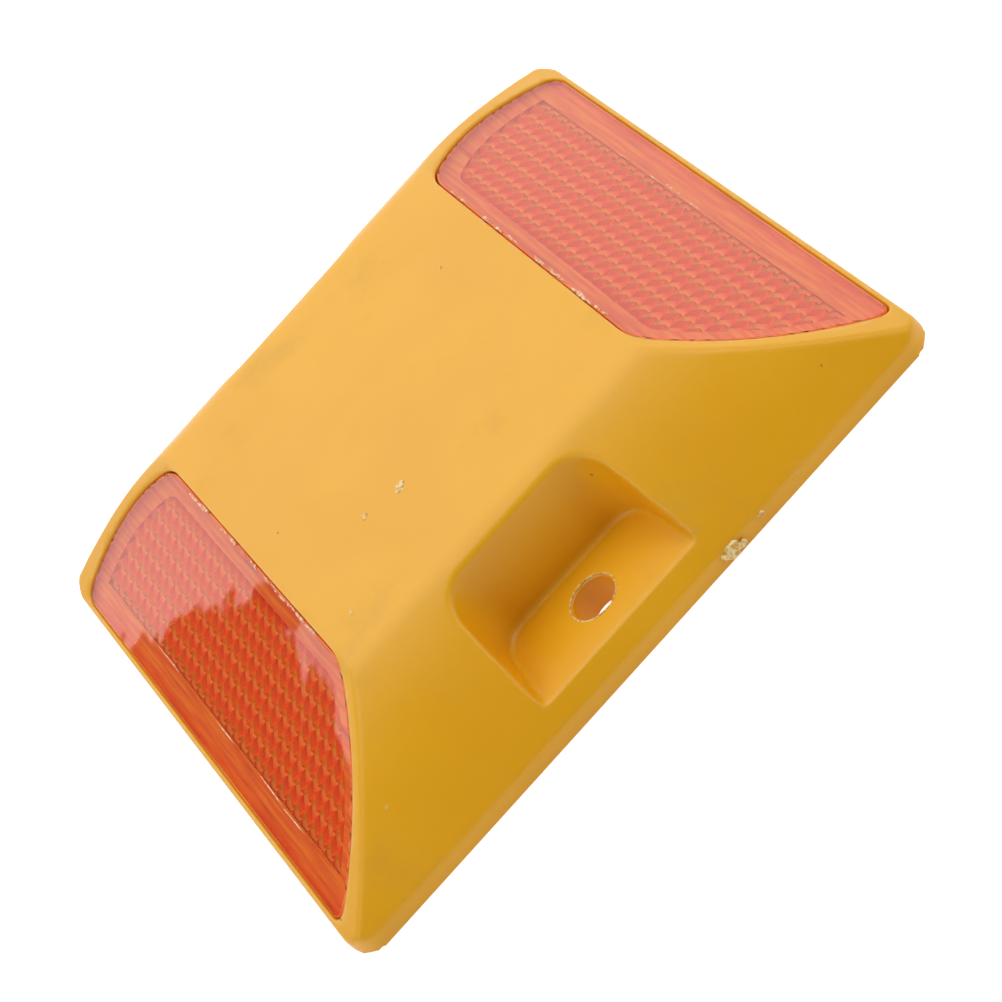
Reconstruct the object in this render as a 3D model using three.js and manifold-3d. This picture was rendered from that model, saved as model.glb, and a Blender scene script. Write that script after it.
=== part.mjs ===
import * as THREE from 'three';
import { mergeVertices } from 'three/addons/utils/BufferGeometryUtils.js';
import Module from 'manifold-3d';

// Raised pavement marker with two corner-cube reflectors, in millimetres, standing on z = 0.
// Traffic runs along X, and the finger pockets open to -Y and +Y.

// Body
const baseWidth = 101.6;
const bodyHeight = 17.8;
const rimHeight = 2.4;
const cornerRadius = 4;
const plateauLength = 52.2;
const plateauWidth = 62;
const creaseRadius = 5;
const shoulderAngle = THREE.MathUtils.degToRad(27);

// Walls of the shell; the approach faces are thicker because they carry the reflectors
const wall = 2.2;
const approachWall = 3.9;
const fitGap = 0.3;

// Finger pockets and their screw holes
const pocketFloorHeight = 4.9;
const pocketDepth = 16.2;
const pocketRearWidth = 23.6;
const pocketFrontWidth = 27.6;
const pocketCornerRadius = 3.5;
const pocketDraft = 0.06;
const screwHoleDiameter = 6.3;
const screwHoleSpacing = 83;
const bossDiameter = 10.6;

// Reflectors; half of the outline starts at the crease end and turns through three tangent arcs
const lensTopWidth = 51.4;
const lensTopDistance = 0.65;
const lensArcs = [
  { radius: 8.1, turn: THREE.MathUtils.degToRad(40.4) },
  { radius: 42, turn: THREE.MathUtils.degToRad(37.3) },
  { radius: 2, turn: THREE.MathUtils.degToRad(102.3) },
];
const lensSetback = 0.2;
const flangeThickness = 1.6;
const webThickness = 1;
const windowMargin = 2;
const windowEnd = 24.9;
const trayWall = 0.9;
const trayFloorDepth = 3.7;
const trayFloorThickness = 0.8;

// Hexagonal corner cubes on the rear of each lens, leaning from the lens normal towards the traffic
const cubePitch = 2.54;
const cubeLean = THREE.MathUtils.degToRad(39);
const cubeRoot = 1.3;
const firstRowDistance = 4.9;
const cubeRows = 7;
const cubesPerRow = 32;
const rodTop = 30;

// Fineness of the round stretches, and how far a cut runs past the face it opens
const creaseSteps = 4;
const shoulderSteps = 8;
const cornerSteps = 6;
const arcSteps = 7;
const holeSteps = 32;
const cutOver = 10;

const halfBase = baseWidth / 2;
const halfPlateau = plateauLength / 2;
const approachSlope = (bodyHeight - rimHeight) / (halfBase - halfPlateau);
const approachAngle = Math.atan(approachSlope);
const recessDepth = lensSetback + flangeThickness + fitGap;
const fieldMargin = windowMargin + fitGap + trayWall;
const fieldEnd = windowEnd - fitGap - trayWall;

const axisX = new THREE.Vector3(1, 0, 0);
const axisY = new THREE.Vector3(0, 1, 0);
const axisZ = new THREE.Vector3(0, 0, 1);
const profileAlongX = new THREE.Matrix4().makeBasis(axisY, axisZ, axisX);
const profileAlongY = new THREE.Matrix4().makeBasis(axisX, axisZ, axisY.clone().negate());
const halfTurn = new THREE.Matrix4().makeRotationZ(Math.PI);

const wasm = await Module();
wasm.setup();

function toSolid(geometry) {
  geometry.deleteAttribute('normal');
  geometry.deleteAttribute('uv');
  const merged = mergeVertices(geometry, 1e-4);
  const vertProperties = new Float32Array(merged.getAttribute('position').array);
  const triVerts = new Uint32Array(merged.getIndex().array);
  return new wasm.Manifold(new wasm.Mesh({ numProp: 3, vertProperties, triVerts }));
}

function toMesh(name, solid, material) {
  const { vertProperties, triVerts } = solid.getMesh();
  const geometry = new THREE.BufferGeometry();
  geometry.setAttribute('position', new THREE.BufferAttribute(new Float32Array(vertProperties), 3));
  geometry.setIndex(new THREE.BufferAttribute(new Uint32Array(triVerts), 1));
  geometry.computeVertexNormals();
  const mesh = new THREE.Mesh(geometry, material);
  mesh.name = name;
  return mesh;
}

// A straight block between two levels of the outline's own z axis
function blockGeometry(outline, low, high) {
  const options = { depth: high - low, bevelEnabled: false, curveSegments: cornerSteps };
  return new THREE.ExtrudeGeometry(outline, options).translate(0, 0, low);
}

function mirrored(half) {
  const otherHalf = half.map((point) => new THREE.Vector2(-point.x, point.y)).reverse();
  return new THREE.Shape([...otherHalf, ...half]);
}

// An arc that starts along +X and bends down, given by its centre; `from` and `to` are headings
function bendPoints(centre, radius, from, to, steps) {
  return Array.from({ length: steps + 1 }, (_, i) => {
    const heading = from + ((to - from) * i) / steps;
    return new THREE.Vector2(Math.sin(heading), Math.cos(heading)).multiplyScalar(radius).add(centre);
  });
}

// Side profile from the plateau down to the rim, moved in by `inset`, as a run along X
function sideBody(inset, foot) {
  const creaseCentre = new THREE.Vector2(plateauWidth / 2, bodyHeight - creaseRadius);
  const bend = new THREE.Vector2(Math.sin(shoulderAngle), Math.cos(shoulderAngle));
  const shoulderTop = creaseCentre.clone().addScaledVector(bend, creaseRadius);
  const chord = new THREE.Vector2(halfBase, rimHeight).sub(shoulderTop);
  const halfBend = Math.atan2(-chord.y, chord.x) - shoulderAngle;
  const shoulderRadius = chord.length() / (2 * Math.sin(halfBend));
  const shoulderCentre = shoulderTop.clone().addScaledVector(bend, -shoulderRadius);
  const side = halfBase - inset;
  const lastHeading = Math.asin((side - shoulderCentre.x) / (shoulderRadius - inset));
  const crease = bendPoints(creaseCentre, creaseRadius - inset, 0, shoulderAngle, creaseSteps);
  const radius = shoulderRadius - inset;
  const shoulder = bendPoints(shoulderCentre, radius, shoulderAngle, lastHeading, shoulderSteps);
  const outline = mirrored([...crease, ...shoulder.slice(1), new THREE.Vector2(side, foot)]);
  return toSolid(blockGeometry(outline, -halfBase, halfBase).applyMatrix4(profileAlongX));
}

// Approach profile with the slopes moved in by `depth`, measured square to them, as a run along Y
function approachBody(inset, depth, foot) {
  const drop = depth / Math.cos(approachAngle);
  const side = halfBase - inset;
  const crease = new THREE.Vector2(halfPlateau + (inset - drop) / approachSlope, bodyHeight - inset);
  const sideHeight = bodyHeight - drop - approachSlope * (side - halfPlateau);
  const edge = new THREE.Vector2(side, sideHeight);
  const half = [crease, edge, new THREE.Vector2(side, foot)];
  if (sideHeight < foot) {
    const footReach = halfPlateau + (bodyHeight - drop - foot) / approachSlope;
    half.splice(1, 2, new THREE.Vector2(footReach, foot));
  }
  return toSolid(blockGeometry(mirrored(half), -halfBase, halfBase).applyMatrix4(profileAlongY));
}

// Plan of the base with round corners, as an upright block
function planBody(inset, foot) {
  const side = halfBase - inset;
  const radius = cornerRadius - inset;
  const straight = side - radius;
  const quarter = Math.PI / 2;
  const plan = new THREE.Shape();
  plan.absarc(straight, straight, radius, 0, quarter);
  plan.absarc(-straight, straight, radius, quarter, 2 * quarter);
  plan.absarc(-straight, -straight, radius, 2 * quarter, 3 * quarter);
  plan.absarc(straight, -straight, radius, 3 * quarter, 4 * quarter);
  return toSolid(blockGeometry(plan, foot, bodyHeight));
}

function bodySolid(inset, depth, foot) {
  const sides = sideBody(inset, foot);
  const approaches = approachBody(inset, depth, foot);
  return sides.intersect(approaches).intersect(planBody(inset, foot));
}

// Finger pocket at -Y, grown by `grow` on its floor, back and side walls
function pocketSolid(grow) {
  const front = -halfBase - cutOver;
  const rear = -halfBase + pocketDepth + grow;
  const flare = (pocketFrontWidth - pocketRearWidth) / 2 / pocketDepth;
  const rearHalf = pocketRearWidth / 2 + grow;
  const frontHalf = rearHalf + flare * (rear - front);
  const radius = pocketCornerRadius + grow;
  const turnIn = rearHalf + flare * radius;
  const plan = new THREE.Shape();
  plan.moveTo(-frontHalf, front);
  plan.lineTo(frontHalf, front);
  plan.lineTo(turnIn, rear - radius);
  plan.quadraticCurveTo(rearHalf, rear, rearHalf - radius, rear);
  plan.lineTo(radius - rearHalf, rear);
  plan.quadraticCurveTo(-rearHalf, rear, -turnIn, rear - radius);
  const floor = pocketFloorHeight - grow;
  const geometry = blockGeometry(plan, floor, bodyHeight + 1);
  const position = geometry.getAttribute('position');
  for (let i = 0; i < position.count; i++) {
    const draft = 1 + (pocketDraft * (position.getZ(i) - pocketFloorHeight)) / bodyHeight;
    position.setX(i, position.getX(i) * draft);
    position.setY(i, (position.getY(i) + halfBase) * draft - halfBase);
  }
  return toSolid(geometry);
}

function pocketCylinder(diameter, low, high) {
  const cylinder = new THREE.CylinderGeometry(diameter / 2, diameter / 2, high - low, holeSteps);
  return toSolid(cylinder.rotateX(Math.PI / 2).translate(0, -screwHoleSpacing / 2, (low + high) / 2));
}

// Both ends or both sides get the same solid
function withTwin(solid) {
  return solid.add(solid.transform(halfTurn.elements));
}

// Reflector outline on the approach face: x runs across the marker, y up the slope from the crease
function reflectorOutline(grow, end = Infinity) {
  const half = [];
  let heading = 0;
  let start = new THREE.Vector2(lensTopWidth / 2, grow - lensTopDistance);
  for (const arc of lensArcs) {
    const radius = arc.radius + grow;
    const toCentre = new THREE.Vector2(-Math.sin(heading), -Math.cos(heading));
    const centre = start.clone().addScaledVector(toCentre, radius);
    const endHeading = Math.acos(THREE.MathUtils.clamp((-end - centre.y) / radius, -1, 1));
    const next = Math.min(heading + arc.turn, endHeading);
    half.push(...bendPoints(centre, radius, heading, next, arcSteps).slice(half.length ? 1 : 0));
    if (next === endHeading) break;
    heading = next;
    start = half[half.length - 1];
  }
  return mirrored(half);
}

function reflectorBlock(grow, end, deep, shallow) {
  return toSolid(blockGeometry(reflectorOutline(grow, end), -deep, -shallow));
}

// One corner cube: the end of a six-sided rod along z, three square faces that meet at its apex. The lattice
// position is counted in half pitches across and half rim radii along
function cubeRod(across, along, apexHeight) {
  const rimRadius = cubePitch / Math.sqrt(3);
  const faceDrop = cubePitch / Math.sqrt(6);
  const hexagon = [[1, 1], [0, 2], [-1, 1], [-1, -1], [0, -2], [1, -1]];
  const point = ([dx, dy], height) => {
    return new THREE.Vector3(((across + dx) * cubePitch) / 2, ((along + dy) * rimRadius) / 2, height);
  };
  const rim = hexagon.map((corner, side) => point(corner, apexHeight + faceDrop * (side % 2 ? 1 : 2)));
  const cap = hexagon.map((corner) => point(corner, rodTop));
  const apex = point([0, 0], apexHeight);
  const corners = [];
  const addFace = (...points) => {
    for (let i = 2; i < points.length; i++) corners.push(points[0], points[i - 1], points[i]);
  };
  addFace(...cap);
  for (let side = 0; side < 6; side++) {
    const next = (side + 1) % 6;
    addFace(rim[side], rim[next], cap[next], cap[side]);
    if (side % 2) addFace(apex, rim[next], rim[side], rim[side - 1]);
  }
  return toSolid(new THREE.BufferGeometry().setFromPoints(corners));
}

// Rows of rods, each row stepped along the rods so that all rows stay parallel to the lens once they lean
function cubeField() {
  const rimRadius = cubePitch / Math.sqrt(3);
  const rowStep = 1.5 * rimRadius * Math.tan(cubeLean);
  const rods = [];
  for (let row = 0; row < cubeRows; row++) {
    for (let column = 0; column < cubesPerRow; column++) {
      rods.push(cubeRod(2 * column - cubesPerRow + (row % 2), -3 * row, row * rowStep));
    }
  }
  const rimRise = (2 * cubePitch * Math.cos(cubeLean)) / Math.sqrt(6);
  const highestRim = rimRise + (rimRadius / 2) * Math.sin(cubeLean);
  const lean = new THREE.Matrix4().makeRotationX(cubeLean);
  lean.setPosition(0, -firstRowDistance, -cubeRoot - highestRim);
  return wasm.Manifold.union(rods).transform(lean.elements);
}

function lensSolid() {
  const webRear = lensSetback + webThickness;
  const webMiddle = lensSetback + webThickness / 2;
  const plate = reflectorBlock(0, Infinity, lensSetback + flangeThickness, lensSetback);
  const hollow = reflectorBlock(-fieldMargin, fieldEnd, cutOver, webRear);
  const cubeArea = reflectorBlock(-fieldMargin - fitGap, fieldEnd - fitGap, cutOver, webMiddle);
  return plate.subtract(hollow).add(cubeField().intersect(cubeArea));
}

// The tray stands in the shell's window and closes the air layer behind the corner cubes
function trayBlock(grow) {
  const outerGrow = grow - windowMargin - fitGap;
  const outerEnd = windowEnd - fitGap + grow;
  return reflectorBlock(outerGrow, outerEnd, trayFloorDepth + trayFloorThickness + grow, recessDepth);
}

function backingSolid() {
  return trayBlock(0).subtract(reflectorBlock(-fieldMargin, fieldEnd, trayFloorDepth, 0));
}

const rightFace = new THREE.Matrix4().makeRotationFromEuler(new THREE.Euler(0, approachAngle, Math.PI / 2));
rightFace.setPosition(halfPlateau, 0, bodyHeight);

function onRightFace(solid) {
  return solid.transform(rightFace.elements);
}

function shellSolid() {
  const outer = bodySolid(0, 0, 0);
  const cavity = bodySolid(wall, approachWall, -cutOver);
  const pockets = withTwin(pocketSolid(0));
  const pocketWalls = withTwin(pocketSolid(wall)).intersect(outer);
  const bosses = withTwin(pocketCylinder(bossDiameter, 0, pocketFloorHeight - wall / 2));
  const holes = withTwin(pocketCylinder(screwHoleDiameter, -cutOver, cutOver));
  const recess = reflectorBlock(fitGap, Infinity, recessDepth, -cutOver);
  const opening = reflectorBlock(-windowMargin, windowEnd, approachWall + fitGap, -cutOver);
  const recesses = withTwin(onRightFace(recess.add(opening)));
  const walls = outer.subtract(cavity).add(pocketWalls).add(bosses);
  return walls.subtract(pockets).subtract(holes).subtract(recesses);
}

function pottingSolid() {
  const fill = bodySolid(wall + fitGap, approachWall + fitGap, 0);
  const pockets = withTwin(pocketSolid(wall + fitGap));
  const bosses = withTwin(pocketCylinder(bossDiameter + 2 * fitGap, -cutOver, cutOver));
  const trays = withTwin(onRightFace(trayBlock(fitGap)));
  return fill.subtract(pockets).subtract(bosses).subtract(trays);
}

const shellPlastic = () => new THREE.MeshStandardMaterial({ color: 0xe3a02b, roughness: 0.42, metalness: 0 });
const lensAcrylic = () => new THREE.MeshStandardMaterial({ color: 0xe2571a, roughness: 0.08, metalness: 0 });
const trayPlastic = () => new THREE.MeshStandardMaterial({ color: 0xd98f1c, roughness: 0.5, metalness: 0 });
const pottingResin = () => new THREE.MeshStandardMaterial({ color: 0x9c927f, roughness: 0.9, metalness: 0 });

// Both reflectors are the same pair of pieces; the left one is turned half round
function reflector(side, turn) {
  const face = new THREE.Group();
  face.position.set(halfPlateau, 0, bodyHeight);
  face.rotation.set(0, approachAngle, Math.PI / 2);
  face.add(toMesh(`lens_${side}`, lensSolid(), lensAcrylic()));
  face.add(toMesh(`lens_backing_${side}`, backingSolid(), trayPlastic()));
  const end = new THREE.Group();
  end.rotation.z = turn;
  end.add(face);
  return end;
}

const marker = new THREE.Group();
marker.add(toMesh('housing_shell', shellSolid(), shellPlastic()));
marker.add(toMesh('potting_fill', pottingSolid(), pottingResin()));
marker.add(reflector('right', 0));
marker.add(reflector('left', Math.PI));

export default marker;
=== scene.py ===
import math
import random
import bpy
from mathutils import Matrix, Vector, noise


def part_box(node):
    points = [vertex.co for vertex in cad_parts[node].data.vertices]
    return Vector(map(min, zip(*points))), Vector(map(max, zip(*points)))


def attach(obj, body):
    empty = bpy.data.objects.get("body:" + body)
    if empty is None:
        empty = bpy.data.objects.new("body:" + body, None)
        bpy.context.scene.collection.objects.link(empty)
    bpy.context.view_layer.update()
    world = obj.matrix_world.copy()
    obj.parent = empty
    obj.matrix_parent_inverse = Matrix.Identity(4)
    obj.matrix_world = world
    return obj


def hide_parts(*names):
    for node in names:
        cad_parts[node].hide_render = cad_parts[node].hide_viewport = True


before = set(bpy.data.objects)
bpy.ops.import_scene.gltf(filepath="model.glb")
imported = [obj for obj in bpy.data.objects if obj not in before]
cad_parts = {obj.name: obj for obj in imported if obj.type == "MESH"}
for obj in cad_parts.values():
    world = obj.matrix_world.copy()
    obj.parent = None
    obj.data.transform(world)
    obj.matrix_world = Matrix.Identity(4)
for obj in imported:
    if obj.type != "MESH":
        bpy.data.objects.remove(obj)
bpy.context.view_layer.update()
print("frame loaded")

mm = 0.001
random.seed(11)

# the shell's box sets the marker's width and height
shellLow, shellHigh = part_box("housing_shell")
baseWidth = shellHigh.x - shellLow.x
bodyHeight = shellHigh.z
halfBase = baseWidth / 2

body = {
    "rimHeight": 2.4 * mm,
    "cornerRadius": 4 * mm,
    "cornerCuts": 9,
    "plateauLength": 52.2 * mm,
    "plateauWidth": 62 * mm,
    "creaseRadius": 5 * mm,
    "creaseCuts": 8,
    "shoulderAngle": math.radians(27),
    "shoulderCuts": 22,
    "wall": 2.2 * mm,
    "approachWall": 3.9 * mm,
    "gap": 0.3 * mm,
    "lip": 0.28 * mm,
}
halfPlateau = body["plateauLength"] / 2
approachSlope = (bodyHeight - body["rimHeight"]) / (halfBase - halfPlateau)
approachAngle = math.atan(approachSlope)


# small helpers for working in the viewport by script

def pick(*pieces):
    bpy.ops.object.select_all(action="DESELECT")
    for piece in pieces:
        piece.select_set(True)
    bpy.context.view_layer.objects.active = pieces[-1]


def addPrimitive(kind, name="", **settings):
    bpy.ops.object.select_all(action="DESELECT")
    getattr(bpy.ops.mesh, "primitive_" + kind + "_add")(**settings)
    piece = bpy.context.object
    if name:
        piece.name = piece.data.name = name
    return piece


def applyModifier(piece, kind, **settings):
    modifier = piece.modifiers.new(kind.lower(), kind)
    for key, value in settings.items():
        setattr(modifier, key, value)
    pick(piece)
    bpy.ops.object.modifier_apply(modifier=modifier.name)
    return piece


def addBox(name, low, high):
    piece = addPrimitive("cube", name, size=1)
    size = Vector(high) - Vector(low)
    centre = (Vector(high) + Vector(low)) / 2
    piece.data.transform(Matrix.Translation(centre) @ Matrix.Diagonal((*size, 1)))
    return piece


def addRod(name, radius, low, high, centre=(0, 0), sides=64):
    piece = addPrimitive("cylinder", name, vertices=sides, radius=radius, depth=high - low)
    piece.data.transform(Matrix.Translation((centre[0], centre[1], (low + high) / 2)))
    return piece


def copyOf(piece, name):
    twin = piece.copy()
    twin.data = piece.data.copy()
    twin.name = twin.data.name = name
    bpy.context.scene.collection.objects.link(twin)
    return twin


def carve(piece, planes):  # cuts away all that lies in front of each plane
    pick(piece)
    bpy.ops.object.mode_set(mode="EDIT")
    done = set()
    for point, normal in planes:
        key = tuple(round(number, 6) for number in (*normal, point.dot(normal)))
        if key in done:  # two arcs share the plane where they meet
            continue
        done.add(key)
        bpy.ops.mesh.select_all(action="SELECT")
        bpy.ops.mesh.bisect(plane_co=point, plane_no=normal, use_fill=True, clear_outer=True, threshold=1e-7)
    bpy.ops.mesh.select_all(action="SELECT")
    bpy.ops.mesh.remove_doubles(threshold=2e-6)
    bpy.ops.object.mode_set(mode="OBJECT")
    return piece


def boolean(piece, cutter, operation="DIFFERENCE"):  # uses the cutter up
    applyModifier(piece, "BOOLEAN", operation=operation, object=cutter, solver="MANIFOLD")
    bpy.data.objects.remove(cutter)
    return piece


def edgeAngles(mesh):  # edge index to the angle between its two faces
    faces = {}
    for polygon in mesh.polygons:
        for key in polygon.edge_keys:
            faces.setdefault(key, []).append(polygon.normal)
    angles = {}
    for edge in mesh.edges:
        normals = faces.get(tuple(sorted(edge.vertices)), [])
        if len(normals) == 2:
            angles[edge.index] = normals[0].angle(normals[1], 0)
    return angles


def roundEdges(piece, width, weigh, segments=4, sharpest=math.radians(18)):  # weigh gives 0 to 1 at an edge
    mesh = piece.data
    label = "bevel_weight_edge"
    weights = mesh.attributes.get(label) or mesh.attributes.new(label, "FLOAT", "EDGE")
    angles = edgeAngles(mesh)
    for edge in mesh.edges:
        middle = (mesh.vertices[edge.vertices[0]].co + mesh.vertices[edge.vertices[1]].co) / 2
        sharp = angles.get(edge.index, 0) > sharpest
        weights.data[edge.index].value = weigh(middle) if sharp else 0
    return applyModifier(piece, "BEVEL", limit_method="WEIGHT", width=width, segments=segments,
                         use_clamp_overlap=False, harden_normals=False)


def closeSheet(height):  # turns the sheet just made into a block with a flat face at a height
    bpy.ops.object.mode_set(mode="EDIT")
    bpy.ops.mesh.select_all(action="SELECT")
    bpy.ops.mesh.extrude_region_move(TRANSFORM_OT_translate={"value": (0, 0, height)})
    bpy.ops.transform.resize(value=(1, 1, 0), center_override=(0, 0, height))
    bpy.ops.mesh.select_all(action="SELECT")
    bpy.ops.mesh.normals_make_consistent(inside=False)
    bpy.ops.object.mode_set(mode="OBJECT")


def smooth(piece, angle=32):
    pick(piece)
    bpy.ops.object.shade_smooth_by_angle(angle=math.radians(angle))


# outer form of the body

def arcPlanes(centre, radius, start, end, cuts, lift):  # planes that touch an arc; lift turns (out, up) to 3D
    planes = []
    for step in range(cuts + 1):
        heading = start + (end - start) * step / cuts
        arm = Vector((math.sin(heading), math.cos(heading)))
        planes.append((lift(centre + arm * radius), lift(arm)))
    return planes


def bodyPlanes(inset=0, approachDepth=0):
    planes = []
    bend = Vector((math.sin(body["shoulderAngle"]), math.cos(body["shoulderAngle"])))
    creaseCentre = Vector((body["plateauWidth"] / 2, bodyHeight - body["creaseRadius"]))
    shoulderTop = creaseCentre + bend * body["creaseRadius"]
    chord = Vector((halfBase, body["rimHeight"])) - shoulderTop
    halfBend = math.atan2(-chord.y, chord.x) - body["shoulderAngle"]
    shoulderRadius = chord.length / (2 * math.sin(halfBend))
    shoulderCentre = shoulderTop - bend * shoulderRadius
    shoulderEnd = body["shoulderAngle"] + 2 * halfBend
    for side in (1, -1):
        def lift(point, side=side):
            return Vector((0, side * point.x, point.y))
        planes += arcPlanes(creaseCentre, body["creaseRadius"] - inset, 0, body["shoulderAngle"],
                            body["creaseCuts"], lift)[1:]
        planes += arcPlanes(shoulderCentre, shoulderRadius - inset, body["shoulderAngle"], shoulderEnd,
                            body["shoulderCuts"], lift)[1:]
        normal = Vector((side * math.sin(approachAngle), 0, math.cos(approachAngle)))
        planes.append((Vector((side * halfPlateau, 0, bodyHeight)) - normal * approachDepth, normal))
    radius = body["cornerRadius"] - inset
    straight = halfBase - inset - radius
    for cornerX in (1, -1):
        for cornerY in (1, -1):
            for step in range(1, body["cornerCuts"]):
                heading = math.pi / 2 * step / body["cornerCuts"]
                arm = Vector((cornerX * math.cos(heading), cornerY * math.sin(heading), 0))
                planes.append((Vector((cornerX * straight, cornerY * straight, 0)) + arm * radius, arm))
    return planes


def bodyBlock(name, inset=0, approachDepth=0, foot=0):
    side = halfBase - inset
    block = addBox(name, (-side, -side, foot), (side, side, bodyHeight - inset))
    return carve(block, bodyPlanes(inset, approachDepth))


# finger pockets and screw holes

pocket = {
    "floorHeight": 4.9 * mm,
    "depth": 16.2 * mm,
    "rearWidth": 23.6 * mm,
    "frontWidth": 27.6 * mm,
    "draft": 0.06,
    "cornerRadius": 4.2 * mm,
    "floorRadius": 0.35 * mm,
    "holeRadius": 3.15 * mm,
    "holeSpacing": 83 * mm,
    "holeEdge": 0.25 * mm,
    "holeCone": 4.5 * mm,
    "bossRadius": 5.3 * mm,
    "over": 12 * mm,
}


def pocketBlock(name, side, grow=0, rounded=True):
    rear = -halfBase + pocket["depth"] + grow
    flare = math.atan((pocket["frontWidth"] - pocket["rearWidth"]) / 2 / pocket["depth"])
    draft = math.atan(pocket["draft"])
    halfRear = pocket["rearWidth"] / 2 + grow
    floor = pocket["floorHeight"] - grow
    wide = halfRear * 2
    block = addBox(name, (-wide, -halfBase - pocket["over"], floor),
                   (wide, rear + pocket["over"], bodyHeight + pocket["over"]))
    level, drop = math.cos(draft), -math.sin(draft)
    wallNormal = Vector((math.cos(flare) * level, math.sin(flare) * level, drop))
    planes = [(Vector((0, rear, floor)), Vector((0, level, drop)))]
    for end in (1, -1):
        normal = Vector((end * wallNormal.x, wallNormal.y, wallNormal.z))
        planes.append((Vector((end * halfRear, rear, floor)), normal))
    carve(block, planes)
    if rounded:
        rounding = pocket["cornerRadius"] + grow

        def rearCorner(middle):
            return 1 if middle.y > rear - rounding and abs(middle.z - floor) > 5 * mm and \
                middle.z < bodyHeight + pocket["over"] / 2 else 0
        roundEdges(block, rounding, rearCorner, segments=10, sharpest=math.radians(40))

        def floorEdge(middle):
            return 1 if abs(middle.z - floor) < 0.1 * mm and middle.y > -halfBase - pocket["over"] / 2 else 0
        roundEdges(block, pocket["floorRadius"], floorEdge, segments=4, sharpest=math.radians(40))
    if side > 0:
        block.data.transform(Matrix.Rotation(math.pi, 4, "Z"))
    return block


soften = {
    "voxel": 0.34 * mm,
    "rounds": 13,
    "faces": 64000,
    "foot": (0.5 * mm, 1.5 * mm),  # held below, free above
    "creaseHeight": 1.2 * mm,
    "creaseWidth": 1.6 * mm,
    "creaseHold": 0.12,
    "creaseEase": 0.5,
    "creaseEnd": (28 * mm, 33 * mm),
    "floorBand": 1.0 * mm,
    "floorReach": 15 * mm,
    "floorHold": 0.06,
}


def ramp(value, low, high):
    return min(max((value - low) / (high - low), 0), 1)


def makeShell():
    shell = bodyBlock("markerShell")
    for side in (-1, 1):
        boolean(shell, pocketBlock("pocketCutter", side))
    print("finger pockets cut", len(shell.data.polygons))
    applyModifier(shell, "REMESH", mode="VOXEL", voxel_size=soften["voxel"])
    group = shell.vertex_groups.new(name="soft")
    for vertex in shell.data.vertices:
        spot = vertex.co
        weight = ramp(spot.z, *soften["foot"])
        nearTop = abs(spot.z - bodyHeight) < soften["creaseHeight"]
        if nearTop and abs(abs(spot.x) - halfPlateau) < soften["creaseWidth"]:
            weight *= soften["creaseHold"] + soften["creaseEase"] * ramp(abs(spot.y), *soften["creaseEnd"])
        nearFloor = abs(spot.z - pocket["floorHeight"]) < soften["floorBand"]
        if nearFloor and abs(spot.x) < soften["floorReach"]:
            weight *= soften["floorHold"]
        group.add([vertex.index], weight, "REPLACE")
    applyModifier(shell, "SMOOTH", factor=0.5, iterations=soften["rounds"], vertex_group="soft")
    applyModifier(shell, "DECIMATE", ratio=soften["faces"] / (2 * len(shell.data.polygons)))
    print("outer form softened", len(shell.data.polygons))
    return shell


shell = makeShell()


# reflector outline, in the frame of one approach face: x across, y up the slope, z outwards

reflector = {
    "topWidth": 51.4 * mm,
    "topDistance": 0.65 * mm,
    "arcs": ((8.1 * mm, 40.4), (42 * mm, 37.3), (2 * mm, 102.3)),
    "arcCuts": 12,
    "setback": 0.2 * mm,
    "thickness": 1.6 * mm,
    "web": 1.0 * mm,
    "windowMargin": 2.0 * mm,
    "windowEnd": 24.9 * mm,
    "trayWall": 0.9 * mm,
    "fieldOver": 0.06 * mm,
    "trayFloor": 3.7 * mm,
    "trayFloorThickness": 0.8 * mm,
}
recessDepth = reflector["setback"] + reflector["thickness"] + body["gap"]
fieldMargin = reflector["windowMargin"] + body["gap"] + reflector["trayWall"]
fieldEnd = reflector["windowEnd"] - body["gap"] - reflector["trayWall"]
rightFace = Matrix.Translation((halfPlateau, 0, bodyHeight)) @ Matrix.Rotation(approachAngle, 4, "Y") \
    @ Matrix.Rotation(math.pi / 2, 4, "Z")
halfTurn = Matrix.Rotation(math.pi, 4, "Z")


def outlinePlanes(grow, taper=0):
    planes = []
    heading = 0
    point = Vector((reflector["topWidth"] / 2, grow - reflector["topDistance"]))
    for arcRadius, turn in reflector["arcs"]:
        radius = arcRadius + grow
        if radius <= 0:
            break
        centre = point - Vector((math.sin(heading), math.cos(heading))) * radius
        for step in range(reflector["arcCuts"] + 1):
            angle = heading + math.radians(turn) * step / reflector["arcCuts"]
            arm = Vector((math.sin(angle), math.cos(angle)))
            spot = centre + arm * radius
            if abs(arm.x) < 1e-6:
                arm.x = 0
            tilted = arm * math.cos(taper)
            for end in (1, -1):
                planes.append((Vector((end * spot.x, spot.y, 0)),
                               Vector((end * tilted.x, tilted.y, -math.sin(taper)))))
        heading += math.radians(turn)
        point = spot
    return planes


def outlineBlock(name, grow, deep, shallow, end=None, taper=0):
    bottom = -end if end else -60 * mm
    block = addBox(name, (-60 * mm, bottom, -deep), (60 * mm, 20 * mm, -shallow))
    return carve(block, outlinePlanes(grow, taper))


def outlineDepth(planes, x, y):  # how far a point lies inside a block's outline
    return min((point - Vector((x, y, 0))).dot(normal) for point, normal in planes)


def onFace(piece, side):
    piece.data.transform(rightFace)
    if side < 0:
        piece.data.transform(halfTurn)
    return piece


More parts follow.
